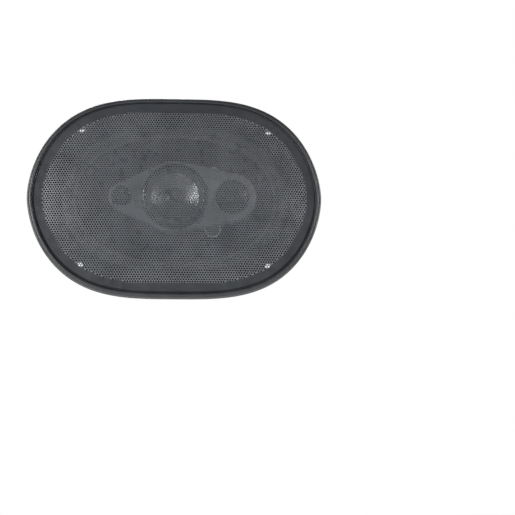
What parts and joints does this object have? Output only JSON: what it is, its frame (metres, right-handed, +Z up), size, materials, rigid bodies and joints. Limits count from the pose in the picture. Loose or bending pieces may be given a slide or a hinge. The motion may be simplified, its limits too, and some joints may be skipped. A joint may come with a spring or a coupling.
{
  "type": "coaxial car speaker",
  "caption": "Oval multi-way coaxial car speaker with a domed mesh grille, windowed steel basket, capped ring magnet and bridged tweeters.",
  "frame": {"origin": "centre of the seat plane, which is the rear face of the mounting flange", "axes": "+Y along the speaker's axis towards the magnet, so the front faces -Y; +X along the long side of the oval, towards the terminals; +Z up"},
  "size_m": [0.275, 0.1092, 0.19],
  "materials": {
    "basket_paint": "gloss black enamel on stamped steel",
    "mesh_paint": "satin black powder coat on perforated steel",
    "black_plastic": "moulded, satin",
    "pod_plastic": "moulded, dark grey satin",
    "boot_rubber": "moulded, satin, ribbed",
    "label_print": "printed film, black with a copper ring",
    "zinc_steel": "zinc plated",
    "ferrite": "ground, matt",
    "cone_paper": "coated black pulp",
    "surround_rubber": "matt",
    "spider_cloth": "resin-treated weave",
    "coil_former": "polyimide film",
    "copper_wire": "enamelled copper winding",
    "dome_film": "metallised film",
    "capacitor_sleeve": "shrunk sleeve",
    "phenolic": "laminate board",
    "tinned_brass": "bright tin plate",
    "tinsel": "braided tinsel wire",
    "glue": "gloss cement"
  },
  "bodies": {
    "frame": {"basket": "basket_paint", "front_ring": "black_plastic", "top_plate": "zinc_steel", "magnet": "ferrite", "yoke": "zinc_steel", "magnet_boot": "boot_rubber", "rear_label": "label_print", "centre_post": "zinc_steel", "post_nut": "zinc_steel", "tweeter_pod": "pod_plastic", "pod_capacitor_high": "capacitor_sleeve", "pod_capacitor_mid": "capacitor_sleeve", "midrange_frame": "black_plastic", "midrange_trim": "black_plastic", "midrange_magnet": "ferrite", "midrange_surround": "surround_rubber", "tweeter_housing": "black_plastic", "tweeter_magnet": "ferrite", "supertweeter_housing": "black_plastic", "supertweeter_magnet": "ferrite", "terminal_board": "phenolic", "terminal_wide": "tinned_brass", "terminal_narrow": "tinned_brass", "terminal_rivet": "tinned_brass", "surround": "surround_rubber", "spider": "spider_cloth", "tinsel_lead_upper": "tinsel", "tinsel_lead_lower": "tinsel"},
    "woofer": {"woofer_cone": "cone_paper", "voice_coil_former": "coil_former", "voice_coil": "copper_wire", "lead_anchor_upper": "glue", "lead_anchor_lower": "glue"},
    "midrange": {"midrange_cone": "cone_paper", "midrange_dust_cap": "dome_film"},
    "tweeter": {"tweeter_dome": "dome_film"},
    "supertweeter": {"supertweeter_dome": "dome_film"},
    "grille": {"grille_ring": "black_plastic", "grille_mesh": "mesh_paint"}
  },
  "joints": [
    {"name": "cone_stroke", "type": "slide", "parent": "frame", "child": "woofer", "axis": [0, 1, 0], "range_m": [-0.004, 0.004], "stiffness_N_per_m": 2500, "deforming": ["surround", "spider", "tinsel_lead_upper", "tinsel_lead_lower"]},
    {"name": "midrange_stroke", "type": "slide", "parent": "frame", "child": "midrange", "axis": [0, 1, 0], "range_m": [-0.0008, 0.0008], "stiffness_N_per_m": 1500, "deforming": ["midrange_surround"]},
    {"name": "tweeter_stroke", "type": "slide", "parent": "frame", "child": "tweeter", "axis": [0, 1, 0], "range_m": [-0.00025, 0.00025], "stiffness_N_per_m": 3000},
    {"name": "supertweeter_stroke", "type": "slide", "parent": "frame", "child": "supertweeter", "axis": [0, 1, 0], "range_m": [-0.0002, 0.0002], "stiffness_N_per_m": 3000},
    {"name": "grille_pull", "type": "slide", "parent": "frame", "child": "grille", "axis": [0, -1, 0], "range_m": [0, 0.06]}
  ]
}
